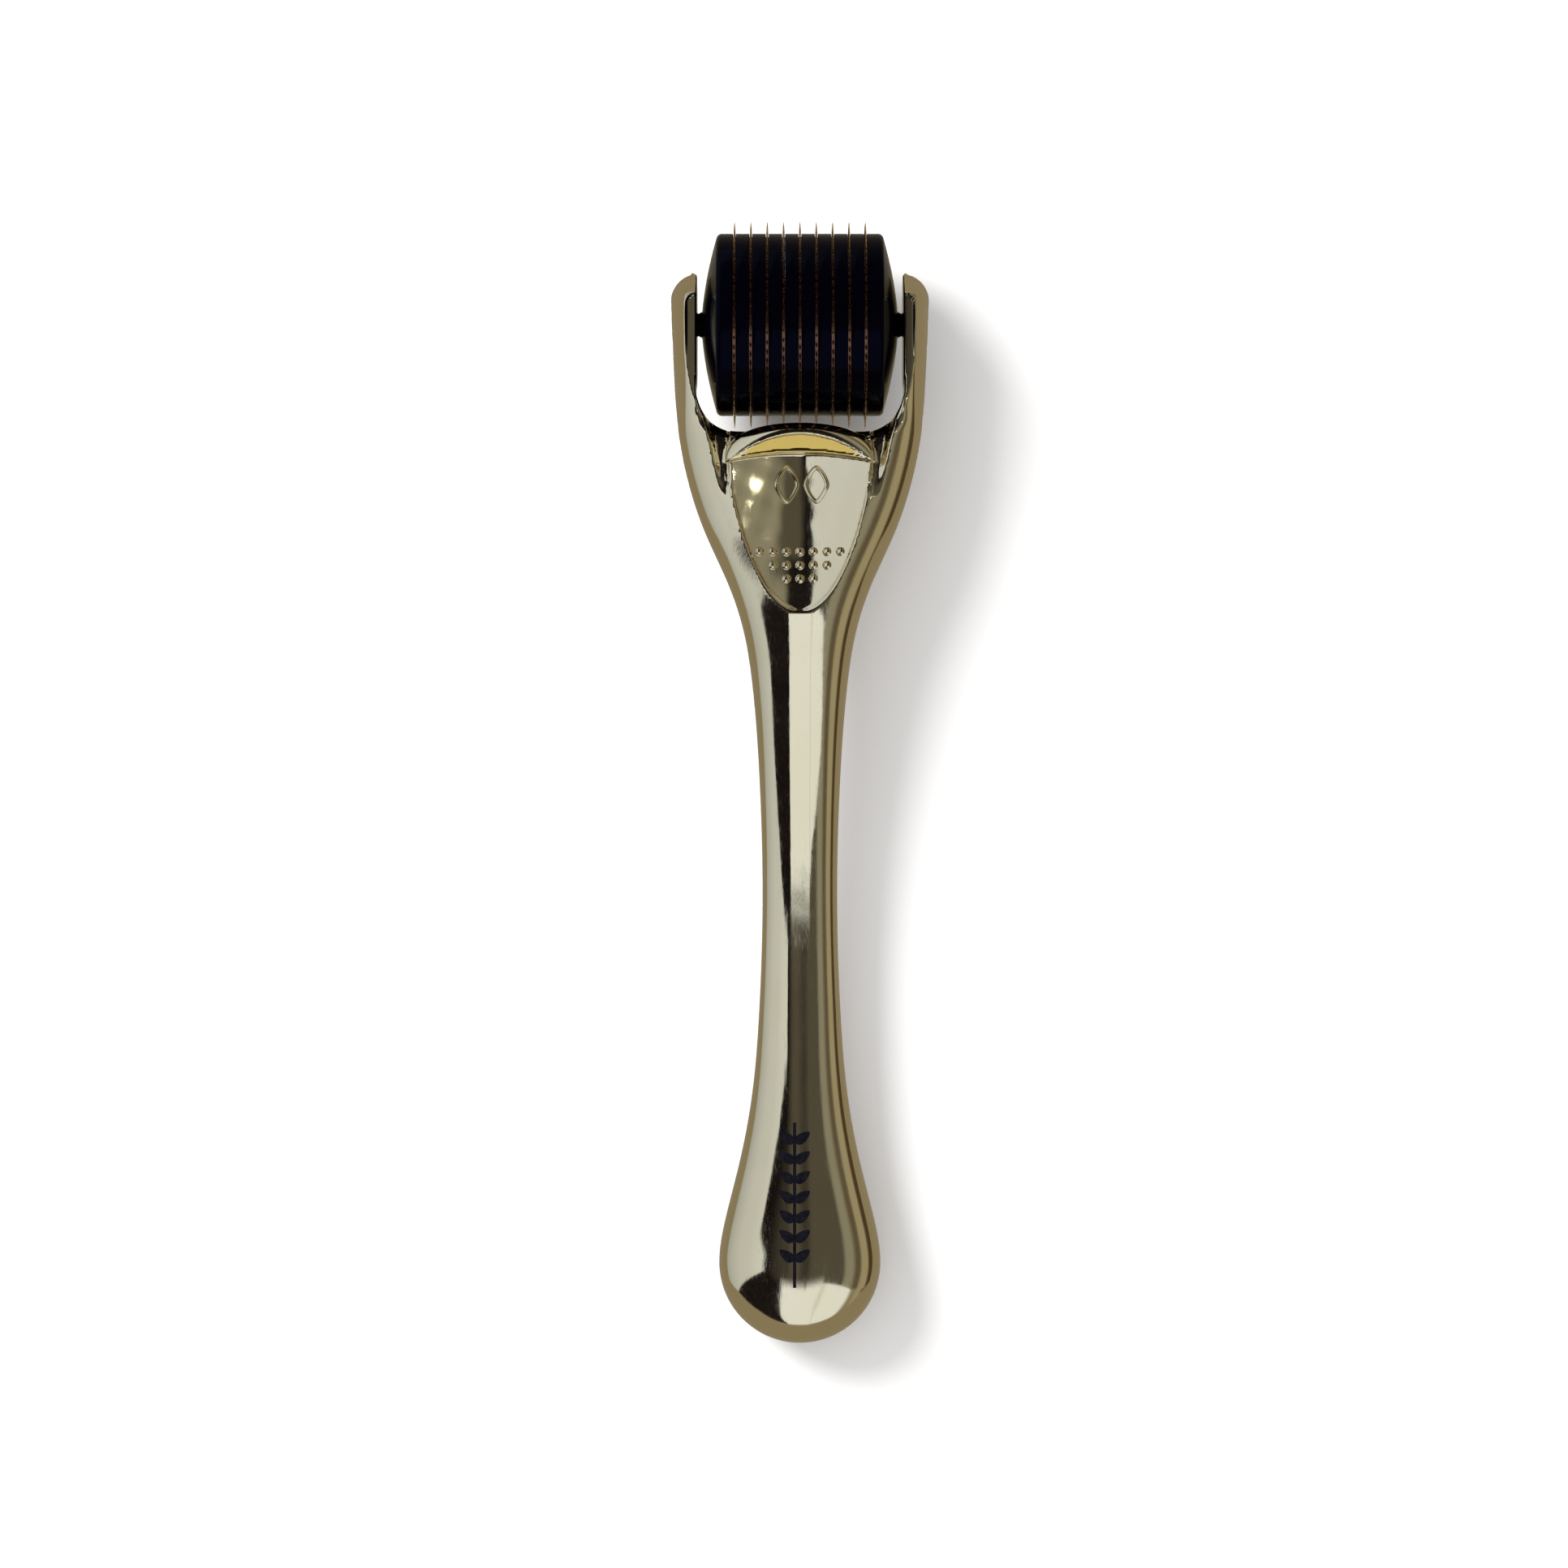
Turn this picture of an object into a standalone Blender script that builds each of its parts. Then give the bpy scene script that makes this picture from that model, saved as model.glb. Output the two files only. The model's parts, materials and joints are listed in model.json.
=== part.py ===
"""Derma roller, lying on its back: drum at +Y, bulb end at -Y, thumb side up (+Z).

The origin is on the surface it lies on, under the middle of its box. Shapes are worked out in
millimetres from the axle's centre along Y and from that surface along Z, and built in metres.
"""

import math

import bmesh
import bpy
import numpy as np
from mathutils import Matrix, Vector

MM = 0.001

# Drum
DRUM_RADIUS = 11.15
NEEDLE_LENGTH = 1.5
TIP_RADIUS = DRUM_RADIUS + NEEDLE_LENGTH
DISC_COUNT = 9
DISC_PITCH = 2.0
DISC_THICKNESS = 0.25
DISC_RIM_RADIUS = DRUM_RADIUS - 0.15
NEEDLES_PER_DISC = 60
NEEDLE_BASE_WIDTH = 0.34
STACK_GAP = 0.05
DRUM_SEGMENTS = 48

# Hub: a disc turned on by one flat has its needles moved on by a quarter of their spacing
HUB_SIDES = 16
HUB_RADIUS = 4.5
HUB_FIT = 0.1
JOURNAL_RADIUS = 3.6
JOURNAL_DEPTH = 1.4

# End caps
CAP_RIM_HALF_LENGTH = 10.25
CAP_CORNER = 0.7
CAP_DOME_HALF_LENGTH = 12.05
CAP_DOME_POWER = 1.65
CAP_DOME_STEPS = 3
STUB_RADIUS = 1.5
STUB_LENGTH = 2.15

# Fork
ARM_INNER = 12.6
ARM_OUTER = 15.85
ARM_TIP_REACH = 6.2
ARM_TIP_LENGTH = 3.5
ARM_TIP_TURN = 80
SHOULDER = ARM_TIP_REACH - ARM_TIP_LENGTH
GAP_FLOOR = -13.2
GAP_CORNER = 5.0
SOCKET_RADIUS = 1.6
SOCKET_DEPTH = 1.8
SOCKET_SEGMENTS = 24

# Handle
BULB_CENTRE = -115.25
BULB_RADIUS = 9.95
BULB_HALF_DEPTH = 6.6
REST_LAND_CUT = 0.3
END_REACH = BULB_CENTRE - BULB_RADIUS
AXLE_HEIGHT = TIP_RADIUS
AXLE_Y = -(END_REACH + TIP_RADIUS) / 2
SECTION_SIDES = 28

# Stations down the handle: distance from the axle, then the value there
HALF_WIDTHS = (
    (BULB_CENTRE, BULB_RADIUS),
    (-110, 9.2),
    (-104, 7.7),
    (-96, 6.1),
    (-84, 5.0),
    (-70, 4.6),
    (-56, 4.95),
    (-44, 5.85),
    (-38, 6.8),
    (-32, 8.7),
    (-26, 11.4),
    (-20, 13.55),
    (-13, 15.1),
    (-5, 15.7),
    (ARM_TIP_REACH - ARM_TIP_LENGTH, ARM_OUTER),
)
MIDDLE_HEIGHTS = (
    (BULB_CENTRE, BULB_HALF_DEPTH - REST_LAND_CUT),
    (-104, 6.68),
    (-92, 7.35),
    (-84, 7.75),
    (-75, 8.22),
    (-65, 9.02),
    (-55, 10.1),
    (-45, 11.4),
    (-38, 12.2),
    (-34, 12.55),
    (-30, 12.65),
    (-20, 12.55),
    (-8, 12.4),
    (SHOULDER, AXLE_HEIGHT),
)
HALF_DEPTHS = (
    (BULB_CENTRE, BULB_HALF_DEPTH),
    (-104, 5.45),
    (-92, 4.1),
    (-84, 3.55),
    (-75, 3.33),
    (-65, 3.42),
    (-55, 3.85),
    (-45, 4.55),
    (-38, 5.05),
    (-34, 5.25),
    (-30, 5.3),
    (-20, 5.3),
    (-8, 5.45),
    (SHOULDER, 5.7),
)
SQUARENESS = (
    (BULB_CENTRE, 2.8),
    (-104, 2.5),
    (-90, 2.35),
    (-40, 2.3),
    (-26, 2.15),
    (SHOULDER, 2.2),
)
# How much of the half width is rounded off; the rest is flat
ROUND_SHARES = (
    (BULB_CENTRE, 1.0),
    (-60, 1.0),
    (-40, 1.0),
    (-32, 0.92),
    (-26, 0.70),
    (-20, 0.55),
    (-13, 0.38),
    (-5, 0.25),
    (SHOULDER, 0.21),
)

# Thumb panel: a scoop whose two slopes meet in a round valley
PANEL_START = -14.2
PANEL_TOP = -16.6
PANEL_BOTTOM = -35.4
PANEL_HALF_WIDTH = 8.7
PANEL_SLOPE = 0.32
PANEL_VALLEY = 1.5
PANEL_STEP = 0.15
PANEL_TAPER = 1.4
PANEL_STEPS = 9
PANEL_CUT_HEIGHT = 22.0
DOT_RADIUS = 0.5
DOT_PITCH = 1.63
DOT_ROWS = ((-27.9, 7), (-29.55, 5), (-31.2, 3))
DOT_SIDES = 8
DOT_FLATNESS = 0.72

# Thumb lip: a round wall on the drum side, a crest, and a pocket that falls to its foot
LIP_HALF_WIDTH = 9.0
LIP_TOP = -12.2
LIP_ENDS = -16.3
LIP_POWER = 2.2
LIP_CREST = AXLE_HEIGHT + 6.95
LIP_CREST_FALL = 1.0
LIP_BASE = AXLE_HEIGHT + 4.7
LIP_UNDERSIDE_SLOPE = 1.3
LIP_STATIONS = (-8.9, -8.0, -6.4, -4.3, -2.2, 0, 2.2, 4.3, 6.4, 8.0, 8.9)
CREST_MIDDLE, CREST_CURVE = -13.55, 0.0445
FOOT_MIDDLE, FOOT_CURVE = -15.95, 0.0125
POCKET_STEP = 0.22
POCKET_SLOPE = 0.27
WALL_SHARE = 0.7

# Hollows: a flute on the front of each arm, a leaf on its outside and a wedge beside the lip
FLUTE_RADIUS = 1.5
FLUTE_DEPTH = 0.4
FLUTE_X = 13.0
FLUTE_START = 3.4
FLUTE_END = -8.5
LEAF_HALF_LENGTH = 9.5
LEAF_HALF_HEIGHT = 3.4
LEAF_HALF_WIDTH = 3.0
LEAF_CENTRE = -8.0
LEAF_DEPTH = 0.45
WEDGE_POINT = -21.4
WEDGE_START = -11.0
WEDGE_SLOPE = 0.17
WEDGE_INNER = 8.3
WEDGE_OUTER = 11.2
WEDGE_POINT_X = 9.3


def smooth_curve(stations):
    """A cubic spline through the stations, level at both ends."""
    places, values = np.array(stations, float).T
    steps = np.diff(places)
    count = len(places)
    matrix = np.zeros((count, count))
    right = np.zeros(count)
    matrix[0, 0] = matrix[-1, -1] = 1
    for i in range(1, count - 1):
        before, after = steps[i - 1], steps[i]
        matrix[i, i - 1] = 1 / before
        matrix[i, i] = 2 / before + 2 / after
        matrix[i, i + 1] = 1 / after
        rise = (values[i] - values[i - 1]) / before**2 + (values[i + 1] - values[i]) / after**2
        right[i] = 3 * rise
    slopes = np.linalg.solve(matrix, right)

    def value_at(place):
        i = int(np.clip(np.searchsorted(places, place) - 1, 0, count - 2))
        t = float(np.clip((place - places[i]) / steps[i], 0, 1))
        start = (1 + 2 * t) * (1 - t) ** 2 * values[i] + t * (1 - t) ** 2 * steps[i] * slopes[i]
        end = t * t * (3 - 2 * t) * values[i + 1] + t * t * (t - 1) * steps[i] * slopes[i + 1]
        return float(start + end)

    return value_at


half_width = smooth_curve(HALF_WIDTHS)
middle_height = smooth_curve(MIDDLE_HEIGHTS)
half_depth = smooth_curve(HALF_DEPTHS)
squareness = smooth_curve(SQUARENESS)
round_share = smooth_curve(ROUND_SHARES)


def make_material(name, colour, metallic, roughness):
    material = bpy.data.materials.new(name)
    material.use_nodes = True
    shader = material.node_tree.nodes["Principled BSDF"]
    shader.inputs["Base Color"].default_value = (*colour, 1)
    shader.inputs["Metallic"].default_value = metallic
    shader.inputs["Roughness"].default_value = roughness
    return material


def mesh_from(bm, name):
    """Closes off a bmesh as a mesh in metres with its faces pointing out."""
    bmesh.ops.recalc_face_normals(bm, faces=bm.faces[:])
    bmesh.ops.scale(bm, vec=(MM, MM, MM), verts=bm.verts[:])
    mesh = bpy.data.meshes.new(name)
    bm.to_mesh(mesh)
    bm.free()
    mesh.shade_smooth()
    mesh.set_sharp_from_angle(angle=math.radians(30))
    return mesh


def add_object(name, mesh, material=None, location=(0, 0, 0), parent=None):
    obj = bpy.data.objects.new(name, mesh)
    bpy.context.scene.collection.objects.link(obj)
    obj.location = Vector(location) * MM
    obj.parent = parent
    if material and not mesh.materials:
        mesh.materials.append(material)
    return obj


def add_cutter(name, mesh, location=(0, 0, 0)):
    cutter = add_object(name, mesh, None, location)
    cutter.hide_render = True
    cutter.display_type = "WIRE"
    return cutter


def add_boolean(obj, other, operation):
    modifier = obj.modifiers.new(other.name, "BOOLEAN")
    modifier.operation = operation
    modifier.object = other
    modifier.solver = "EXACT"


def loft(rings, first_point=None):
    """A bmesh skin over rings of points, closed by faces or, at the start, by a single point."""
    bm = bmesh.new()
    loops = [[bm.verts.new(point) for point in ring] for ring in rings]
    for low, high in zip(loops, loops[1:]):
        for i in range(len(low)):
            j = (i + 1) % len(low)
            bm.faces.new((low[i], low[j], high[j], high[i]))
    if first_point is None:
        bm.faces.new(reversed(loops[0]))
    else:
        pole = bm.verts.new(first_point)
        for i in range(len(loops[0])):
            bm.faces.new((pole, loops[0][(i + 1) % len(loops[0])], loops[0][i]))
    bm.faces.new(loops[-1])
    return bm


def turned(profile, segments):
    """A bmesh turned about X from (x, radius) points, with both ends on the axis."""
    bm = bmesh.new()
    chain = [bm.verts.new((x, 0, radius)) for x, radius in profile]
    for first, second in zip(chain, chain[1:]):
        bm.edges.new((first, second))
    bmesh.ops.spin(
        bm,
        geom=bm.verts[:] + bm.edges[:],
        axis=(1, 0, 0),
        cent=(0, 0, 0),
        angle=2 * math.pi,
        steps=segments,
    )
    bmesh.ops.remove_doubles(bm, verts=bm.verts[:], dist=1e-4)
    return bm


def pierced_plate(outer, inner, thickness):
    """A bmesh plate square to X between an outer outline and a hole, centred on x = 0."""
    bm = bmesh.new()
    edges = []
    for outline in (outer, inner):
        points = [bm.verts.new((-thickness / 2, y, z)) for y, z in outline]
        edges += [bm.edges.new((points[i - 1], points[i])) for i in range(len(points))]
    bmesh.ops.triangle_fill(bm, use_beauty=True, use_dissolve=False, edges=edges)
    extruded = bmesh.ops.extrude_face_region(bm, geom=bm.faces[:], use_keep_orig=True)
    moved = [part for part in extruded["geom"] if isinstance(part, bmesh.types.BMVert)]
    bmesh.ops.translate(bm, verts=moved, vec=(thickness, 0, 0))
    return bm


def circle_points(radius, count, start=0.0):
    angles = [start + 2 * math.pi * i / count for i in range(count)]
    return [(radius * math.cos(a), radius * math.sin(a)) for a in angles]


def hub_hole():
    return circle_points(HUB_RADIUS + HUB_FIT, HUB_SIDES, math.pi / HUB_SIDES)


def needle_disc_outline():
    """Round the rim, each needle is a spike on a short base."""
    points = []
    half_base = NEEDLE_BASE_WIDTH / 2 / DISC_RIM_RADIUS
    for i in range(NEEDLES_PER_DISC):
        angle = 2 * math.pi * i / NEEDLES_PER_DISC
        corners = ((DISC_RIM_RADIUS, -half_base), (TIP_RADIUS, 0), (DISC_RIM_RADIUS, half_base))
        for radius, turn in corners:
            points.append((radius * math.cos(angle + turn), radius * math.sin(angle + turn)))
    return points


def end_cap_profile():
    """From the hub's socket round the rim and over the dome to the end of the stub."""
    inner_face = (DISC_COUNT - 1) / 2 * DISC_PITCH + DISC_THICKNESS / 2 + STACK_GAP
    socket_floor = inner_face + JOURNAL_DEPTH + STACK_GAP
    profile = [
        (socket_floor, 0),
        (socket_floor, JOURNAL_RADIUS + HUB_FIT),
        (inner_face, JOURNAL_RADIUS + HUB_FIT),
        (inner_face, DRUM_RADIUS),
    ]
    for step in range(3):
        turn = math.radians(45 * step)
        x = CAP_RIM_HALF_LENGTH - CAP_CORNER * (1 - math.sin(turn))
        profile.append((x, DRUM_RADIUS - CAP_CORNER * (1 - math.cos(turn))))
    dome_rise = CAP_DOME_HALF_LENGTH - CAP_RIM_HALF_LENGTH
    dome_base = DRUM_RADIUS - CAP_CORNER
    for radius in np.linspace(dome_base, STUB_RADIUS, CAP_DOME_STEPS + 1)[1:]:
        x = CAP_DOME_HALF_LENGTH - dome_rise * (radius / dome_base) ** CAP_DOME_POWER
        profile.append((x, float(radius)))
    stub_end = CAP_DOME_HALF_LENGTH + STUB_LENGTH
    profile += [(stub_end, STUB_RADIUS), (stub_end, 0)]
    return profile


def section(place, flat, corner, depth, middle, power):
    """One closed section of the handle: a flat part with a rounded side of its own at each end."""
    ring = []
    for i in range(SECTION_SIDES):
        angle = 2 * math.pi * i / SECTION_SIDES
        across, up = math.cos(angle), math.sin(angle)
        x = 0.0
        if 4 * i % SECTION_SIDES or 2 * i % SECTION_SIDES == 0:
            x = math.copysign(flat + corner * abs(across) ** (2 / power), across)
        z = middle + depth * math.copysign(abs(up) ** (2 / power), up)
        ring.append((x, AXLE_Y + place, z))
    return ring


def flat_and_corner(place):
    """How the half width at a place is split between its flat part and its rounded side."""
    corner = half_width(place) * min(round_share(place), 1)
    past = max(place - SHOULDER, 0) / ARM_TIP_LENGTH
    width = half_width(place) - (ARM_OUTER - ARM_INNER) * (1 - math.sqrt(1 - past**2))
    reach = max(place, 0) / ARM_TIP_REACH
    corner *= (1 - reach ** squareness(place)) ** (1 / squareness(place))
    return width - corner, corner


def front_height(x, place):
    """Height of the plain outer form over a point, before anything is cut or added."""
    flat, corner = flat_and_corner(place)
    across = min(max(abs(x) - flat, 0) / corner, 1)
    power = squareness(place)
    return middle_height(place) + half_depth(place) * (1 - across**power) ** (1 / power)


def handle_rings():
    rings = []
    for step in range(1, 8):
        turn = math.radians(90 * step / 8)
        place = BULB_CENTRE - BULB_RADIUS * math.cos(turn)
        swell = math.sin(turn)
        middle = middle_height(BULB_CENTRE)
        power = 2 + (squareness(BULB_CENTRE) - 2) * swell
        rings.append(section(place, 0, BULB_RADIUS * swell, BULB_HALF_DEPTH * swell, middle, power))
    straight = [
        np.linspace(BULB_CENTRE, -44, 17),
        np.linspace(-41, -14, 12),
        np.linspace(-10, 0, 3),
    ]
    for place in np.concatenate(straight):
        sizes = (half_depth(place), middle_height(place), squareness(place))
        rings.append(section(place, *flat_and_corner(place), *sizes))
    for step in range(1, 7):
        turn = math.radians(ARM_TIP_TURN * step / 6)
        place = ARM_TIP_REACH * math.sin(turn)
        sizes = (half_depth(place) * math.cos(turn), middle_height(place), squareness(place))
        rings.append(section(place, *flat_and_corner(place), *sizes))
    return rings


def prism(outline, low, high):
    return loft([[(x, y, low) for x, y in outline], [(x, y, high) for x, y in outline]])


def gap_outline():
    """The fork's opening: straight sides, round lower corners, open past the arm tips."""
    side = ARM_INNER
    corner_y = AXLE_Y + GAP_FLOOR + GAP_CORNER
    right = [(side, AXLE_Y + ARM_TIP_REACH + 5)]
    for step in range(7):
        turn = math.radians(90 * step / 6)
        x = side - GAP_CORNER * (1 - math.cos(turn))
        right.append((x, corner_y - GAP_CORNER * math.sin(turn)))
    return right + [(-x, y) for x, y in reversed(right)]


def panel_half_width(place):
    along = min(max((PANEL_TOP - place) / (PANEL_TOP - PANEL_BOTTOM), 0), 1)
    return PANEL_HALF_WIDTH * math.sqrt(1 - along**PANEL_TAPER)


def panel_floor(x, place):
    """Height of the scoop's floor: a small step down at its rim, then the slopes."""
    rim_x = panel_half_width(place)
    slopes = math.hypot(rim_x, PANEL_VALLEY) - math.hypot(x, PANEL_VALLEY)
    return front_height(rim_x, place) - PANEL_STEP - PANEL_SLOPE * slopes


def panel_mesh():
    """A cutter in the shape of the scoop, straight-sided above its floor."""
    last = PANEL_BOTTOM + (PANEL_TOP - PANEL_BOTTOM) / PANEL_STEPS / 8
    rings = []
    for place in [PANEL_START, *np.linspace(PANEL_TOP, last, PANEL_STEPS)]:
        width = panel_half_width(place)
        xs = [share * width for share in (-1, -0.5, -0.18, 0.18, 0.5, 1)]
        ring = [(x, AXLE_Y + place, panel_floor(x, place)) for x in xs]
        ring += [(x, AXLE_Y + place, PANEL_CUT_HEIGHT) for x in xs[::-1]]
        rings.append(ring)
    return mesh_from(loft(rings), "thumb_panel")


def lip_profile(x):
    """The lip's outline in a plane square to X, from the bottom of its foot over the crest."""
    across = abs(x) / LIP_HALF_WIDTH
    front = LIP_ENDS + (LIP_TOP - LIP_ENDS) * (1 - across**LIP_POWER) ** (1 / LIP_POWER)
    foot = FOOT_MIDDLE - FOOT_CURVE * x**2
    crest = max(CREST_MIDDLE - CREST_CURVE * x**2, foot + 0.3)
    peak = LIP_CREST - LIP_CREST_FALL * across**2
    wall_y = crest + WALL_SHARE * (front - crest)
    wall_z = LIP_BASE + (peak - LIP_BASE) * math.sqrt(1 - WALL_SHARE**2)
    pocket = peak - POCKET_STEP - POCKET_SLOPE * (crest - foot)
    return [
        (foot, LIP_BASE + LIP_UNDERSIDE_SLOPE * (foot - LIP_TOP)),
        (foot, pocket),
        (crest - 0.2, peak - POCKET_STEP),
        (crest, peak),
        (wall_y, wall_z),
        (front, LIP_BASE + 0.3),
        (front, LIP_BASE + LIP_UNDERSIDE_SLOPE * (front - LIP_TOP)),
    ]


def lip_mesh():
    """A crescent bar across the fork, with its underside sloping back from the drum."""
    rings = [[(x, AXLE_Y + y, z) for y, z in lip_profile(x)] for x in LIP_STATIONS]
    return mesh_from(loft(rings), "thumb_lip")


def dots_mesh():
    """Raised grip dots in rows that get shorter towards the neck."""
    bm = bmesh.new()
    for place, count in DOT_ROWS:
        for i in range(count):
            x = (i - (count - 1) / 2) * DOT_PITCH
            centre = (x, AXLE_Y + place, panel_floor(x, place))
            matrix = Matrix.Translation(centre) @ Matrix.Diagonal((1, 1, DOT_FLATNESS, 1))
            bmesh.ops.create_uvsphere(
                bm, u_segments=DOT_SIDES, v_segments=4, radius=DOT_RADIUS, matrix=matrix
            )
    return mesh_from(bm, "grip_dots")


def ellipsoid_mesh(name, half_sizes):
    bm = bmesh.new()
    matrix = Matrix.Diagonal((*half_sizes, 1))
    bmesh.ops.create_uvsphere(bm, u_segments=20, v_segments=12, radius=1, matrix=matrix)
    return mesh_from(bm, name)


def wedge_mesh():
    """The hollows beside the lip, which fall away from a point by the panel towards the drum."""
    bm = bmesh.new()
    for side in (-1, 1):
        low = []
        for x, y in (
            (WEDGE_INNER, WEDGE_START),
            (WEDGE_OUTER, WEDGE_START),
            (WEDGE_POINT_X, WEDGE_POINT),
            (WEDGE_INNER, WEDGE_POINT),
        ):
            fall = WEDGE_SLOPE * (y - WEDGE_POINT)
            low.append((side * x, AXLE_Y + y, front_height(WEDGE_INNER, y) - fall))
        high = [(x, y, PANEL_CUT_HEIGHT) for x, y, z in low]
        loops = [[bm.verts.new(point) for point in ring] for ring in (low, high)]
        for i in range(4):
            bm.faces.new((loops[0][i - 1], loops[0][i], loops[1][i], loops[1][i - 1]))
        bm.faces.new(loops[0])
        bm.faces.new(loops[1])
    return mesh_from(bm, "lip_wedges")


def box_outline(half_width_x, low_y, high_y):
    return [(-half_width_x, low_y), (half_width_x, low_y), (half_width_x, high_y), (-half_width_x, high_y)]


def add_handle(plating):
    end_point = (0, AXLE_Y + END_REACH, middle_height(BULB_CENTRE))
    handle = add_object("handle", mesh_from(loft(handle_rings(), end_point), "handle"), plating)

    rest_outline = box_outline(2 * BULB_RADIUS, AXLE_Y + END_REACH - 10, AXLE_Y + BULB_CENTRE + 25)
    rest = prism(rest_outline, -5, 0)
    add_boolean(handle, add_cutter("rest_land_cutter", mesh_from(rest, "rest_land")), "DIFFERENCE")

    gap = prism(gap_outline(), -5, 30)
    add_boolean(handle, add_cutter("fork_gap_cutter", mesh_from(gap, "fork_gap")), "DIFFERENCE")

    socket_reach = ARM_INNER + SOCKET_DEPTH
    socket_profile = [
        (-socket_reach, 0),
        (-socket_reach, SOCKET_RADIUS),
        (socket_reach, SOCKET_RADIUS),
        (socket_reach, 0),
    ]
    socket = turned(socket_profile, SOCKET_SEGMENTS)
    axle_place = (0, AXLE_Y, AXLE_HEIGHT)
    socket_cutter = add_cutter("axle_socket_cutter", mesh_from(socket, "axle_socket"), axle_place)
    add_boolean(handle, socket_cutter, "DIFFERENCE")

    add_boolean(handle, add_cutter("thumb_panel_cutter", panel_mesh()), "DIFFERENCE")
    add_boolean(handle, add_cutter("lip_wedge_cutter", wedge_mesh()), "DIFFERENCE")
    add_boolean(handle, add_cutter("thumb_lip_shape", lip_mesh()), "UNION")
    add_boolean(handle, add_cutter("grip_dots_shape", dots_mesh()), "UNION")

    flute_half_length = (FLUTE_START - FLUTE_END) / 2
    flute_place = (FLUTE_START + FLUTE_END) / 2
    flute = ellipsoid_mesh("flute", (FLUTE_RADIUS, flute_half_length, FLUTE_RADIUS))
    leaf = ellipsoid_mesh("leaf_hollow", (LEAF_HALF_WIDTH, LEAF_HALF_LENGTH, LEAF_HALF_HEIGHT))
    leaf_x = half_width(LEAF_CENTRE) + LEAF_HALF_WIDTH - LEAF_DEPTH
    flute_z = front_height(FLUTE_X, flute_place) + FLUTE_RADIUS - FLUTE_DEPTH
    for side, label in ((-1, "left"), (1, "right")):
        flute_at = (side * FLUTE_X, AXLE_Y + flute_place, flute_z)
        add_boolean(handle, add_cutter("flute_cutter_" + label, flute, flute_at), "DIFFERENCE")
        leaf_at = (side * leaf_x, AXLE_Y + LEAF_CENTRE, AXLE_HEIGHT)
        add_boolean(handle, add_cutter("leaf_cutter_" + label, leaf, leaf_at), "DIFFERENCE")


def add_roller(black, needle_metal):
    axis = bpy.data.objects.new("roller_axis", None)
    bpy.context.scene.collection.objects.link(axis)
    axis.location = Vector((0, AXLE_Y, AXLE_HEIGHT)) * MM

    first_disc = -(DISC_COUNT - 1) / 2 * DISC_PITCH
    disc = mesh_from(pierced_plate(needle_disc_outline(), hub_hole(), DISC_THICKNESS), "needle_disc")
    for i in range(DISC_COUNT):
        place = (first_disc + i * DISC_PITCH, 0, 0)
        obj = add_object(f"needle_disc_{i + 1}", disc, needle_metal, place, axis)
        obj.rotation_euler.x = 2 * math.pi * i / HUB_SIDES

    ring_width = DISC_PITCH - DISC_THICKNESS - 2 * STACK_GAP
    rim = circle_points(DRUM_RADIUS, DRUM_SEGMENTS)
    ring = mesh_from(pierced_plate(rim, hub_hole(), ring_width), "spacer_ring")
    for i in range(DISC_COUNT - 1):
        place = (first_disc + (i + 0.5) * DISC_PITCH, 0, 0)
        add_object(f"spacer_ring_{i + 1}", ring, black, place, axis)

    cap = mesh_from(turned(end_cap_profile(), DRUM_SEGMENTS), "end_cap")
    add_object("end_cap_right", cap, black, (0, 0, 0), axis)
    left = add_object("end_cap_left", cap, black, (0, 0, 0), axis)
    left.rotation_euler.z = math.pi

    hub_half = -first_disc + DISC_THICKNESS / 2
    journal_half = hub_half + JOURNAL_DEPTH
    start = math.pi / HUB_SIDES
    rings = []
    for x, radius in (
        (-journal_half, JOURNAL_RADIUS),
        (-hub_half, JOURNAL_RADIUS),
        (-hub_half, HUB_RADIUS),
        (hub_half, HUB_RADIUS),
        (hub_half, JOURNAL_RADIUS),
        (journal_half, JOURNAL_RADIUS),
    ):
        rings.append([(x, y, z) for y, z in circle_points(radius, HUB_SIDES, start)])
    add_object("hub_core", mesh_from(loft(rings), "hub_core"), black, (0, 0, 0), axis)


def main():
    for obj in list(bpy.data.objects):
        bpy.data.objects.remove(obj)
    plating = make_material("plated_gold", (0.62, 0.52, 0.28), 1.0, 0.1)
    black = make_material("gloss_black", (0.01, 0.01, 0.015), 0.0, 0.12)
    needle_metal = make_material("needle_gold", (0.75, 0.5, 0.22), 1.0, 0.25)
    add_handle(plating)
    add_roller(black, needle_metal)


main()
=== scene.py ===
"""The looks of the derma roller: its finished meshes, materials, studio and camera.

Shapes are worked out in millimetres: x across, y along the handle from the axle's centre (drum at
+y, bulb end at -y), z up from the surface that the roller lies on. Meshes are built in metres.
"""

import json
import math

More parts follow.
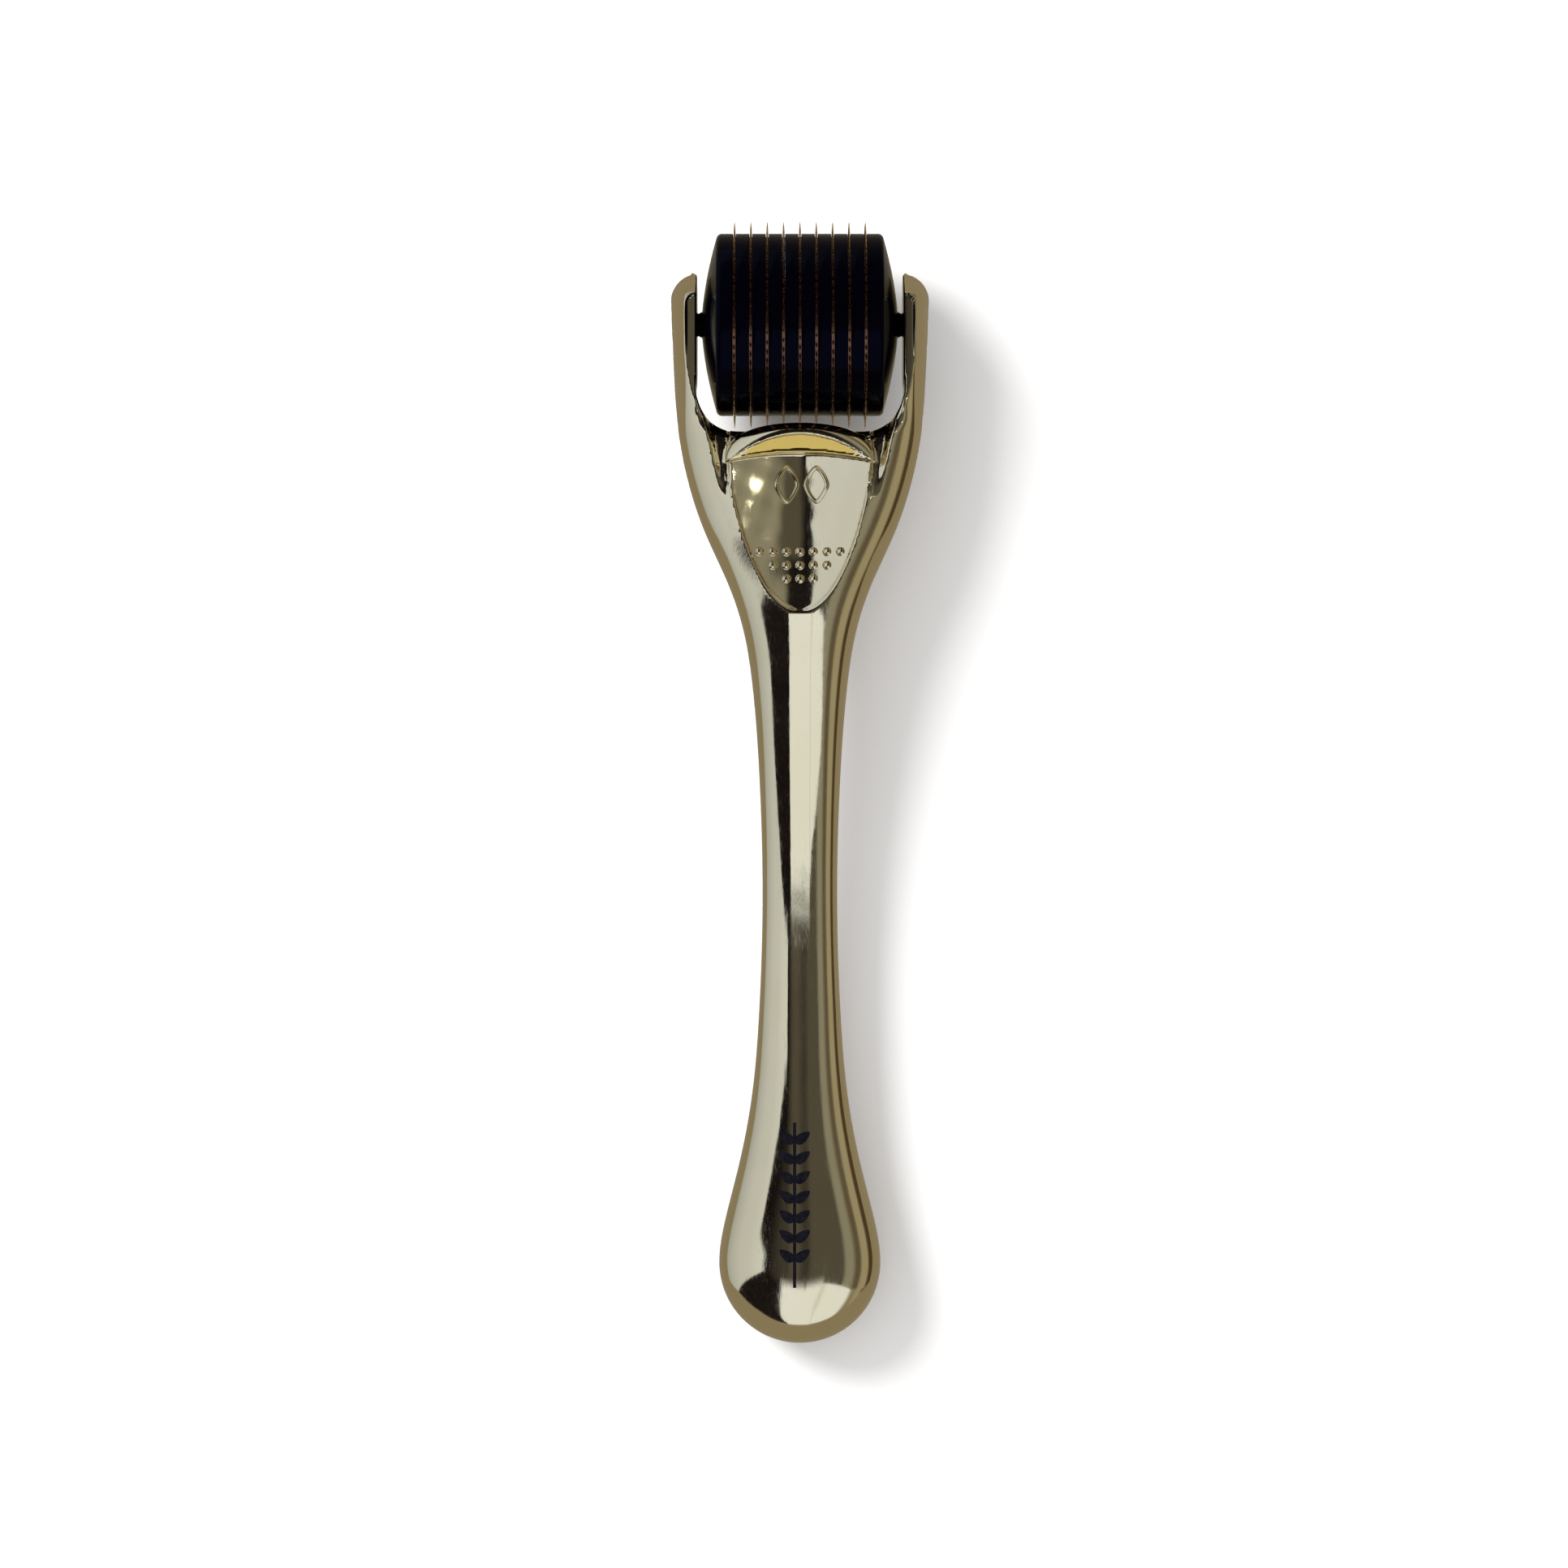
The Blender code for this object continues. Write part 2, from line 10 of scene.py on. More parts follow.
import bmesh
import bpy
import numpy as np
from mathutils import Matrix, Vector


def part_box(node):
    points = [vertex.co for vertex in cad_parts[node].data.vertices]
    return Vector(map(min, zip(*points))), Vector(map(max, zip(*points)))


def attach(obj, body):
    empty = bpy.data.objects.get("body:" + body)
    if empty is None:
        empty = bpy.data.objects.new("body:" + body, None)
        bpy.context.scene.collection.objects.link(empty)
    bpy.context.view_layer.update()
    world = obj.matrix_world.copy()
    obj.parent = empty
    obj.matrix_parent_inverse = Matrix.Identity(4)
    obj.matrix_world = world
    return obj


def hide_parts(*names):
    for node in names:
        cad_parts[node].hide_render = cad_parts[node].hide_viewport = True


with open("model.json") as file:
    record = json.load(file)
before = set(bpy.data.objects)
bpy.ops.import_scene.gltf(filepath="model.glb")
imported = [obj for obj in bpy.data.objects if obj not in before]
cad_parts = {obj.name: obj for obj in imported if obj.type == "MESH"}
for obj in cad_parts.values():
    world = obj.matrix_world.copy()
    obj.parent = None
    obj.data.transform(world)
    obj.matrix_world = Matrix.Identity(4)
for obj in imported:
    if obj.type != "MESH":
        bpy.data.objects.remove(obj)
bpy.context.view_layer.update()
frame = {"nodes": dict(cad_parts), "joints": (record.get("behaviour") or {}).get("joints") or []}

MM = 0.001
AXLE = Vector(frame["joints"][0]["pos_m"])
AXLE_Z = AXLE.z / MM
GRIP, ROLLER = "grip", "roller"

# Drum, from the CAD nodes
DISC_COUNT = 9
DRUM_RADIUS = (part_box("spacer_ring_1")[1] - AXLE).z / MM
TIP_RADIUS = (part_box("needle_disc_5")[1] - AXLE).z / MM
NEEDLES_PER_DISC = 60
NEEDLE_RADIUS = 0.13
DISC_RIM_DEPTH = 0.4
CAP_CORNER = 0.7
STUB_RADIUS = 1.5
STUB_RIDGE = 0.42
STUB_RIDGE_SHAPE = ((0.1, 0.0), (0.35, 0.09), (0.65, 0.09), (0.9, 0.0))

# Handle sizes
END_REACH = (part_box("handle")[0].y - AXLE.y) / MM
BULB_RADIUS = 9.95
BULB_CENTRE = END_REACH + BULB_RADIUS
ARM_INNER = 12.6
ARM_OUTER = 15.85
TIP_REACH = 6.2
TIP_LENGTH = 3.5
PADDLE_REACH = 6.35
GAP_FLOOR = -13.2
GAP_CORNER = 5.0
SOCKET_RADIUS = 1.6
SOCKET_DEPTH = 1.8
SHOULDER = TIP_REACH - TIP_LENGTH

# Stations down the handle: distance from the axle, then the value there
HALF_WIDTHS = (
    (BULB_CENTRE, BULB_RADIUS), (-110, 9.2), (-104, 7.7), (-96, 6.1), (-84, 5.0), (-70, 4.6),
    (-56, 4.95), (-44, 5.85), (-38, 6.8), (-32, 8.7), (-26, 11.4), (-20, 13.55), (-13, 15.1),
    (-5, 15.7), (SHOULDER, ARM_OUTER),
)
MIDDLE_HEIGHTS = (
    (BULB_CENTRE, 6.3), (-104, 6.68), (-92, 7.35), (-84, 7.75), (-75, 8.22), (-65, 9.02),
    (-55, 10.1), (-45, 11.4), (-38, 12.2), (-34, 12.55), (-30, 12.65), (-20, 12.55),
    (-8, 12.4), (SHOULDER, AXLE_Z),
)
HALF_DEPTHS = (
    (BULB_CENTRE, 6.6), (-104, 5.45), (-92, 4.1), (-84, 3.55), (-75, 3.33), (-65, 3.42),
    (-55, 3.85), (-45, 4.55), (-38, 5.05), (-34, 5.25), (-30, 5.3), (-20, 5.3), (-8, 5.45),
    (SHOULDER, 5.7),
)
SQUARENESS = (
    (BULB_CENTRE, 2.8), (-104, 2.5), (-90, 2.35), (-40, 2.3), (-26, 2.15), (SHOULDER, 2.2),
)
# How much of the half width is rounded off; the rest is flat
ROUND_SHARES = (
    (BULB_CENTRE, 1.0), (-60, 1.0), (-40, 1.0), (-32, 0.92), (-26, 0.70), (-20, 0.55), (-13, 0.38),
    (-5, 0.25), (SHOULDER, 0.21),
)


# ---------------------------------------------------------------- handle field

def smooth_curve(stations):
    """A cubic spline through the stations, level at both ends, for arrays of places."""
    places, values = np.array(stations, float).T
    steps = np.diff(places)
    count = len(places)
    matrix = np.zeros((count, count))
    right = np.zeros(count)
    matrix[0, 0] = matrix[-1, -1] = 1
    for i in range(1, count - 1):
        before, after = steps[i - 1], steps[i]
        matrix[i, i - 1] = 1 / before
        matrix[i, i] = 2 / before + 2 / after
        matrix[i, i + 1] = 1 / after
        rise = (values[i] - values[i - 1]) / before**2 + (values[i + 1] - values[i]) / after**2
        right[i] = 3 * rise
    slopes = np.linalg.solve(matrix, right)

    def value_at(place):
        i = np.clip(np.searchsorted(places, place) - 1, 0, count - 2)
        t = np.clip((place - places[i]) / steps[i], 0, 1)
        start = (1 + 2 * t) * (1 - t) ** 2 * values[i] + t * (1 - t) ** 2 * steps[i] * slopes[i]
        end = t * t * (3 - 2 * t) * values[i + 1] + t * t * (t - 1) * steps[i] * slopes[i + 1]
        return start + end

    return value_at


outer_half_width = smooth_curve(HALF_WIDTHS)
middle_height = smooth_curve(MIDDLE_HEIGHTS)
half_depth = smooth_curve(HALF_DEPTHS)
squareness = smooth_curve(SQUARENESS)
round_share = smooth_curve(ROUND_SHARES)


def smooth_step(low, high, value):
    t = np.clip((value - low) / (high - low), 0, 1)
    return t * t * (3 - 2 * t)


def smooth_max(a, b, blend):
    near = np.maximum(blend - np.abs(a - b), 0) / blend
    return np.maximum(a, b) + near * near * blend / 4


def smooth_min(a, b, blend):
    return -smooth_max(-a, -b, blend)


def soft_positive(value, blend):
    """value where it is positive, else 0, with the corner rounded."""
    return (value + np.sqrt(value * value + blend * blend)) / 2


PANEL_TOP = -16.6
PANEL_BOTTOM = -35.4
PANEL_HALF_WIDTH = 8.7
PANEL_SLOPE = 0.32
PANEL_VALLEY = 1.5
PANEL_STEP = 0.15
PANEL_TAPER = 1.4
PANEL_TILT = 0.03
PANEL_RIPPLE = 0.014


def section_height(x, flat, corner, depth, power):
    """Height of the front surface over the section's middle."""
    across = np.clip((np.abs(x) - flat) / corner, 0, 0.999)
    return depth * (1 - across**power) ** (1 / power)


def panel_rim(x, y):
    """How far down the panel a point is, and where it lies from the middle (0) to the rim (1)."""
    along = np.clip((PANEL_TOP - y) / (PANEL_TOP - PANEL_BOTTOM), 0, 1)
    return along, np.hypot(x / PANEL_HALF_WIDTH, along ** (PANEL_TAPER / 2))


def panel_hollow(x, y, *section):
    """The scooped thumb panel: two slopes meeting in a round valley, with a crisp rim."""
    along, rim = panel_rim(x, y)
    rim_x = PANEL_HALF_WIDTH * np.sqrt(1 - along**PANEL_TAPER + 1e-6)
    slopes = np.hypot(rim_x, PANEL_VALLEY) - np.hypot(x, PANEL_VALLEY)
    bulge = section_height(x, *section) - section_height(rim_x, *section)
    tilt = PANEL_TILT * np.maximum(PANEL_TOP - y, 0) * (1 - along**3)
    ripple = PANEL_RIPPLE * np.sin(1.3 * x + 0.6 * y) * np.cos(1.1 * y - 0.5 * x)
    inside = smooth_step(1.02, 0.975, rim) * smooth_step(-12.8, -15.0, y)
    return (bulge + PANEL_SLOPE * slopes + tilt + ripple + PANEL_STEP) * inside


def gap_plan(x, y, side=ARM_INNER):
    """Distance outside the fork's opening in plan, which has round lower corners."""
    right = np.abs(x) - (side - GAP_CORNER)
    down = GAP_FLOOR + GAP_CORNER - y
    outside = np.hypot(np.maximum(right, 0), np.maximum(down, 0))
    return outside + np.minimum(np.maximum(right, down), 0) - GAP_CORNER


def gap_distance(x, y, z):
    """The opening cut through the fork, with a raised round pad on each side of the axle."""
    pad = smooth_step(7.7, 7.9, np.hypot(y, z - AXLE_Z))
    return gap_plan(x, y, ARM_INNER + 0.12 * pad * smooth_step(-9.5, -8.5, y))


FLUTE_REACH = 1.45
FLUTE_LEVEL = AXLE_Z + 4.5
BROW_START = 13.9
BROW_TOP = 3.4
BROW_SLOPE = 0.6


def arm_hollow(x, y, *section):
    """A flute beside the opening, round at its top, and the steeper brow outside it."""
    away = np.hypot(gap_plan(x, y), 1.2 * np.maximum(y - 2.4, 0))
    present = smooth_step(-11.0, -7.5, y)
    reach = FLUTE_REACH * (0.25 + 0.75 * present)
    inside = smooth_step(reach + 0.1, reach - 0.3, away) * present
    depth = section[2]
    rounding = (section_height(x, *section) / depth) ** 2 - (np.maximum(y, 0) / PADDLE_REACH) ** 2
    top = middle_height(y) + depth * np.sqrt(np.maximum(rounding, 0))
    floor = FLUTE_LEVEL + 0.06 * (np.abs(x) - ARM_INNER)
    flute = soft_positive(top - floor, 0.05) * inside
    beside = soft_positive(np.abs(x) - BROW_START, 0.15)
    outside = np.hypot(beside, soft_positive(y - BROW_TOP, 0.15))
    return flute + BROW_SLOPE * outside * smooth_step(-15.0, -7.0, y)


WEDGE_POINT = -21.4
WEDGE_SLOPE = 0.17
WEDGE_EDGE_X = 10.9
WEDGE_EDGE_Y = -13.1
WEDGE_EDGE_LEAN = 0.2


def wedge_hollow(x, y):
    """The narrow hollow on each side of the lip, which falls away towards the drum."""
    edge = WEDGE_EDGE_X + WEDGE_EDGE_LEAN * (y - WEDGE_EDGE_Y)
    inside = smooth_step(edge + 0.6, edge - 0.5, np.abs(x))
    inside = inside * smooth_step(0.98, 1.03, panel_rim(x, y)[1])
    inside = inside * smooth_step(-9.0, -11.5, y)
    return WEDGE_SLOPE * soft_positive(y - WEDGE_POINT, 0.4) * inside


LEAF_TIP = 3.4
LEAF_POINT = -25.0
LEAF_HALF_HEIGHT = 3.1
LEAF_DEPTH = 0.55


def leaf_hollow(y, up):
    """A shallow leaf-shaped hollow outside each arm: round at the tip, pointed at the neck."""
    along = np.clip((LEAF_TIP - y) / (LEAF_TIP - LEAF_POINT), 0, 1)
    height = LEAF_HALF_HEIGHT * 1.62 * np.sqrt(along + 1e-5) * (1 - along) ** 1.1 + 1e-3
    inside = 1 - (up / height) ** 2
    return LEAF_DEPTH * soft_positive(inside, 0.06) * (inside > -3) * smooth_step(0, 0.05, along)


def body_level(x, y, z):
    """Under 1 inside the handle's outer form and over 1 outside it, before the fork is cut."""
    past = np.clip((y - SHOULDER) / TIP_LENGTH, 0, 1)
    power = squareness(y)
    full = outer_half_width(y)
    width = full - (ARM_OUTER - ARM_INNER) * (1 - np.sqrt(1 - past * past))
    tip = np.clip(y / PADDLE_REACH, 0, 0.999)
    corner = full * np.minimum(round_share(y), 1)
    flat = width - corner * (1 - tip**power) ** (1 / power)
    depth = half_depth(y)
    middle = middle_height(y)
    front = smooth_step(0.0, 0.35, (z - middle) / depth)
    side = smooth_step(0.7, 0.9, np.abs(x) / width)
    section = (flat, corner, depth, power)
    hollow = panel_hollow(x, y, *section) + arm_hollow(x, y, *section) + wedge_hollow(x, y)
    lowered = z - middle + front * hollow
    across = np.maximum(np.abs(x) + side * leaf_hollow(y, z - middle) - flat, 0) / corner
    up = np.sqrt((lowered / depth) ** 2 + (np.maximum(y, 0) / PADDLE_REACH) ** 2)
    end = np.maximum(BULB_CENTRE - y, 0) / BULB_RADIUS
    plan = across * across + end * end
    return (plan ** (power / 2) + up**power) ** (1 / power)


LIP_HALF_WIDTH = 9.0
LIP_TOP = -12.2
LIP_ENDS = -16.3
LIP_POWER = 2.2
LIP_CREST = AXLE_Z + 6.95
LIP_BASE = AXLE_Z + 4.7
LIP_CREST_FALL = 1.0
CREST_MIDDLE, CREST_CURVE = -13.55, 0.0445
FOOT_MIDDLE, FOOT_CURVE = -15.75, 0.0125
POCKET_STEP = 0.22
POCKET_SLOPE = 0.27
POCKET_RIM = 0.16


def lip_distance(x, y, z):
    """The crescent thumb lip: a round wall on the drum side, a crest, then a crescent pocket."""
    across = np.minimum(np.abs(x) / LIP_HALF_WIDTH, 1.2)
    rise = LIP_TOP - LIP_ENDS
    ahead = np.maximum(y - LIP_ENDS, 0) / rise
    outline = ((across**LIP_POWER + ahead**LIP_POWER) ** (1 / LIP_POWER) - 1) * rise
    inner = np.maximum(1 - across**LIP_POWER, 0)
    front = LIP_ENDS + rise * inner ** (1 / LIP_POWER)
    crest = CREST_MIDDLE - CREST_CURVE * x * x
    foot = FOOT_MIDDLE - FOOT_CURVE * x * x
    forward = np.clip((y - crest) / np.maximum(front - crest, 0.1), 0, 1)
    back = np.maximum(crest - y, 0) / np.maximum(crest - foot, 0.1)
    peak = LIP_CREST - LIP_CREST_FALL * across**2
    wall = LIP_BASE + (peak - LIP_BASE) * np.sqrt(1 - forward**2)
    reach = np.maximum(crest - y, 0)
    pocket = POCKET_STEP * smooth_step(0.03, 0.16, back) + POCKET_SLOPE * reach
    pocket = pocket - POCKET_RIM * smooth_step(0.86, 0.97, back)
    top = wall - pocket * smooth_step(1.02, 0.85, across)
    solid = smooth_max(outline, foot - 0.22 - y, 0.3)
    solid = smooth_max(solid, (z - top) * 0.6, 0.2)
    under = LIP_BASE + 1.3 * (y - LIP_TOP)
    return smooth_max(solid, (under - z) * 0.6, 0.4)


def handle_distance(x, y, z):
    """Roughly the distance from the handle's surface, negative inside."""
    step = 0.01
    level = body_level(x, y, z)
    slope_x = body_level(x + step, y, z) - level
    slope_y = body_level(x, y + step, z) - level
    slope_z = body_level(x, y, z + step) - level
    slope = np.sqrt(slope_x**2 + slope_y**2 + slope_z**2) / step
    body = (level - 1) / np.maximum(slope, 0.02)
    edge = 0.35 + 1.6 * smooth_step(-9, -12.5, y)
    cut = smooth_max(body, -gap_distance(x, y, z), edge)
    socket = np.hypot(y, z - AXLE_Z) - SOCKET_RADIUS
    socket = np.maximum(socket, np.abs(x) - ARM_INNER - SOCKET_DEPTH)
    cut = smooth_max(cut, -socket, 0.15)
    whole = smooth_min(cut, lip_distance(x, y, z), 0.25)
    return smooth_max(whole, -z, 0.2)


def field_slope(field, points, step=0.01):
    """The gradient of a field at each point, by central differences."""
    slope = np.empty_like(points)
    for axis in range(3):
        offset = np.zeros(3)
        offset[axis] = step
        ahead = field(*(points + offset).T)
        behind = field(*(points - offset).T)
        slope[:, axis] = (ahead - behind) / (2 * step)
    return slope


def settle(field, points, rounds=4):
    """Moves points onto the field's zero surface."""
    for _ in range(rounds):
        slope = field_slope(field, points)
        length = np.maximum((slope**2).sum(1), 1e-4)
        push = (field(*points.T) / length)[:, None] * slope
        size = np.maximum(np.linalg.norm(push, axis=1, keepdims=True), 1e-9)
        points = points - push * np.minimum(size, 0.2) / size
    return points


def surface_net(field, xs, ys, zs):
    """Points and quads of the field's zero surface, with one point in each cell it crosses."""
    grid = np.meshgrid(xs, ys, zs, indexing="ij")
    values = field(*[part.ravel() for part in grid]).reshape(grid[0].shape)
    cells = tuple(size - 1 for size in values.shape)
    total = np.zeros((*cells, 3))
    count = np.zeros(cells, int)
    crossings = []
    for axis in range(3):
        low = [slice(None)] * 3
        high = [slice(None)] * 3
        low[axis] = slice(None, -1)
        high[axis] = slice(1, None)
        first, second = values[tuple(low)], values[tuple(high)]
        crossed = (first < 0) != (second < 0)
        share = np.where(crossed, first / np.where(crossed, first - second, 1), 0)
        place = np.stack([part[tuple(low)] for part in grid], -1)
        ahead = np.stack([part[tuple(high)] for part in grid], -1)
        place = place + (ahead - place) * share[..., None]
        others = [i for i in range(3) if i != axis]
        for a in (0, 1):
            for b in (0, 1):
                pick = [slice(None)] * 3
                pick[others[0]] = slice(a, a + cells[others[0]])
                pick[others[1]] = slice(b, b + cells[others[1]])
                pick = tuple(pick)
                count += crossed[pick]
                total += place[pick] * crossed[pick][..., None]
        crossings.append((crossed, first < 0, others))
    used = count > 0
    points = total[used] / count[used][:, None]
    number = np.full(cells, -1)
    number[used] = np.arange(len(points))
    faces = []
    for axis, (crossed, inside, others) in enumerate(crossings):
        where = np.argwhere(crossed)
        inner = np.ones(len(where), bool)
        for other in others:
            inner &= (where[:, other] > 0) & (where[:, other] < cells[other])
        where = where[inner]
        corners = []
        for a, b in ((1, 1), (0, 1), (0, 0), (1, 0)):
            at = where.copy()
            at[:, others[0]] -= a
            at[:, others[1]] -= b
            corners.append(number[tuple(at.T)])
        quads = np.stack(corners, 1)
        turned = inside[tuple(where.T)] == (axis == 1)
        quads[turned] = quads[turned][:, ::-1]
        faces.append(quads)
    return points, np.concatenate(faces)


def place_points(points):
    """From this script's millimetres to the shared frame's metres."""
    return points * MM + np.array([0, AXLE.y, 0])


def front_height(x, y):
    """Height of the handle's front surface over each (x, y)."""
    low = middle_height(y)
    high = np.full_like(low, AXLE_Z + 9)
    for _ in range(28):
        middle = (low + high) / 2
        inside = handle_distance(x, y, middle) < 0
        low = np.where(inside, middle, low)
        high = np.where(inside, high, middle)
    return (low + high) / 2


# ---------------------------------------------------------------- mesh helpers

def add_object(name, data, material, body):
    obj = bpy.data.objects.new(name, data)
    bpy.context.scene.collection.objects.link(obj)
    data.materials.append(material)
    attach(obj, body)
    return obj


def mesh_from(bm, name, sharp_degrees=35):
    bmesh.ops.recalc_face_normals(bm, faces=bm.faces[:])
    mesh = bpy.data.meshes.new(name)
    bm.to_mesh(mesh)
    bm.free()
    mesh.shade_smooth()
    mesh.set_sharp_from_angle(angle=math.radians(sharp_degrees))
    return mesh


def add_turned(bm, profile, segments):
    """Turns (x, radius) points about the axle and adds them to the bmesh, in metres."""
    rings = []
    for x, radius in profile:
        if radius < 1e-6:
            rings.append([bm.verts.new((x * MM, AXLE.y, AXLE.z))])
            continue
        ring = []
        for i in range(segments):
            angle = 2 * math.pi * i / segments
            y = AXLE.y + radius * MM * math.cos(angle)
            z = AXLE.z + radius * MM * math.sin(angle)
            ring.append(bm.verts.new((x * MM, y, z)))
        rings.append(ring)
    for first, second in zip(rings, rings[1:]):
        for i in range(segments):
            j = (i + 1) % segments
            corners = [first[i % len(first)], first[j % len(first)]]
            corners += [second[j % len(second)], second[i % len(second)]]
            bm.faces.new(dict.fromkeys(corners))


# ---------------------------------------------------------------- materials

def node(tree, kind, **inputs):
    """Adds a shader node; a value that is a socket is linked, and any other is set."""
    made = tree.nodes.new(kind)
    for key, value in inputs.items():
        numbered = key[0] == "i" and key[1:].isdigit()
        socket = made.inputs[int(key[1:]) if numbered else key]
        if isinstance(value, bpy.types.NodeSocket):
            tree.links.new(value, socket)
        else:
            socket.default_value = value
    return made


def maths(tree, operation, first, second=0.0, third=0.0):
    made = tree.nodes.new("ShaderNodeMath")
    made.operation = operation
    for socket, value in zip(made.inputs, (first, second, third)):
        if isinstance(value, bpy.types.NodeSocket):
            tree.links.new(value, socket)
        else:
            socket.default_value = value
    return made.outputs[0]


def spread(tree, value, low, high, out_low, out_high):
    made = node(tree, "ShaderNodeMapRange", Value=value)
    made.inputs["From Min"].default_value = low
    made.inputs["From Max"].default_value = high
    made.inputs["To Min"].default_value = out_low
    made.inputs["To Max"].default_value = out_high
    return made.outputs["Result"]


def noise(tree, size_mm, detail=3.0, stretch=None):
    """Noise in the object's own coordinates, with features of about size_mm."""
    place = tree.nodes.new("ShaderNodeTexCoord").outputs["Object"]
    if stretch:
        mapping = node(tree, "ShaderNodeMapping", Vector=place)
        mapping.inputs["Scale"].default_value = stretch
        place = mapping.outputs["Vector"]
    made = node(tree, "ShaderNodeTexNoise", Vector=place, Scale=1 / (size_mm * MM), Detail=detail)
    return made.outputs["Fac"]


def ramp(tree, value, *stops):
    made = node(tree, "ShaderNodeValToRGB", Fac=value)
    points = made.color_ramp.elements
    while len(points) < len(stops):
        points.new(0.5)
    for point, (place, colour) in zip(points, stops):
        point.position = place
        point.color = (*colour, 1)
    return made.outputs["Color"]


def bump(tree, height, depth_mm, strength=1.0, normal=None):
    made = node(tree, "ShaderNodeBump", Height=height, Distance=depth_mm * MM, Strength=strength)
    if normal is not None:
        tree.links.new(normal, made.inputs["Normal"])
    return made.outputs["Normal"]


def new_material(name):
    material = bpy.data.materials.new(name)
    material.use_nodes = True
    return material, material.node_tree, material.node_tree.nodes["Principled BSDF"]


def pocket_mask(tree):
    """1 in the thumb lip's pocket, where the plating is painted a deeper yellow as a painted
    reflection of the gold hollow, and made rougher.
    """
    place = tree.nodes.new("ShaderNodeTexCoord").outputs["Object"]
    parts = node(tree, "ShaderNodeSeparateXYZ", Vector=place).outputs
    x = maths(tree, "MULTIPLY", parts["X"], 1 / MM)
    y = maths(tree, "MULTIPLY", maths(tree, "SUBTRACT", parts["Y"], AXLE.y), 1 / MM)
    square = maths(tree, "MULTIPLY", x, x)
    crest = maths(tree, "MULTIPLY_ADD", square, -CREST_CURVE, CREST_MIDDLE)
    foot = maths(tree, "MULTIPLY_ADD", square, -FOOT_CURVE, FOOT_MIDDLE)
    below_crest = fade(tree, maths(tree, "SUBTRACT", crest, y), 0.05, 0.4)
    above_foot = fade(tree, maths(tree, "SUBTRACT", y, foot), -0.25, 0.05)
    between_ends = fade(tree, square, 64.0, 36.0)
    both = maths(tree, "MULTIPLY", below_crest, above_foot)
    return maths(tree, "MULTIPLY", both, between_ends)


# Colour of the painted reflection in the lip's pocket
POCKET_PAINTED_REFLECTION = (0.69, 0.485, 0.113)


def plating_material():
    """Pale gold plating: mirror-bright, very slightly wavy, with faint haze and fine wipe marks."""
    material, tree, shader = new_material("gold_plating")
    tone = ramp(tree, noise(tree, 9, 2), (0.3, (0.80, 0.71, 0.44)), (0.7, (0.83, 0.74, 0.48)))
    # painted reflection: the lip's pocket is painted a deeper yellow
    tone = mix(tree, pocket_mask(tree), tone, POCKET_PAINTED_REFLECTION)
    haze = spread(tree, noise(tree, 5, 6), 0.35, 0.75, 0.045, 0.10)
    haze = maths(tree, "ADD", haze, maths(tree, "MULTIPLY", pocket_mask(tree), 0.12))
    wipes = noise(tree, 0.6, 4, stretch=(4.0, 0.35, 4.0))
    haze = maths(tree, "ADD", haze, spread(tree, wipes, 0.5, 0.75, 0.0, 0.09))
    waves = bump(tree, noise(tree, 7, 1.5), 0.03)
    scratches = node(
        tree, "ShaderNodeBump",
        Height=noise(tree, 0.5, 4, stretch=(5.0, 0.6, 5.0)), Distance=0.0045 * MM,
        Strength=spread(tree, noise(tree, 8, 3), 0.48, 0.62, 0.0, 1.0), Normal=waves,
    ).outputs["Normal"]
    grain = bump(tree, noise(tree, 0.5, 3), 0.0008, normal=scratches)
    tree.links.new(tone, shader.inputs["Base Color"])
    tree.links.new(haze, shader.inputs["Roughness"])
    tree.links.new(grain, shader.inputs["Normal"])
    shader.inputs["Metallic"].default_value = 1.0
    return material


def black_material(name, shade, gloss):
    """Moulded black plastic: glossy with a cool cast, faint flow marks and handling haze."""
    material, tree, shader = new_material(name)
    tone = ramp(tree, noise(tree, 4, 4), (0.3, shade), (0.8, tuple(1.6 * c for c in shade)))
    haze = spread(tree, noise(tree, 2.5, 6), 0.3, 0.8, gloss, gloss + 0.10)
    flow = bump(tree, noise(tree, 3.5, 2, stretch=(1, 0.5, 0.5)), 0.006)
    grain = bump(tree, noise(tree, 0.25, 3), 0.0006, normal=flow)
    tree.links.new(tone, shader.inputs["Base Color"])
    tree.links.new(haze, shader.inputs["Roughness"])
    tree.links.new(grain, shader.inputs["Normal"])
    shader.inputs["Specular IOR Level"].default_value = 0.04
    shader.inputs["Specular Tint"].default_value = (0.45, 0.5, 1.0, 1)
    return material


def needle_material():
    """Gold-coated needle metal with drawing marks, painted darker and redder at the foot as painted
    shade in the slit between the rings.
    """
    material, tree, shader = new_material("needle_metal")
    tone = ramp(tree, noise(tree, 0.8, 4), (0.3, (0.62, 0.36, 0.13)), (0.7, (0.88, 0.62, 0.28)))
    place = tree.nodes.new("ShaderNodeTexCoord").outputs["Object"]
    radial = node(tree, "ShaderNodeVectorMath", i0=place)
    radial.operation = "MULTIPLY_ADD"
    radial.inputs[1].default_value = (0, 1, 1)
    radial.inputs[2].default_value = (0, -AXLE.y, -AXLE.z)
    length = node(tree, "ShaderNodeVectorMath", i0=radial.outputs[0])
    length.operation = "LENGTH"
    # painted shade: dark red-brown on the needle's foot, below and just above the drum's surface
    clear = fade(tree, length.outputs["Value"], (DRUM_RADIUS - 0.2) * MM, (DRUM_RADIUS + 0.4) * MM)
    tone = mix(tree, clear, (0.16, 0.08, 0.045), tone)
    haze = spread(tree, noise(tree, 0.3, 5), 0.3, 0.8, 0.16, 0.38)
    grain = bump(tree, noise(tree, 0.12, 3), 0.002)
    tree.links.new(tone, shader.inputs["Base Color"])
    tree.links.new(haze, shader.inputs["Roughness"])
    tree.links.new(grain, shader.inputs["Normal"])
    shader.inputs["Metallic"].default_value = 1.0
    return material


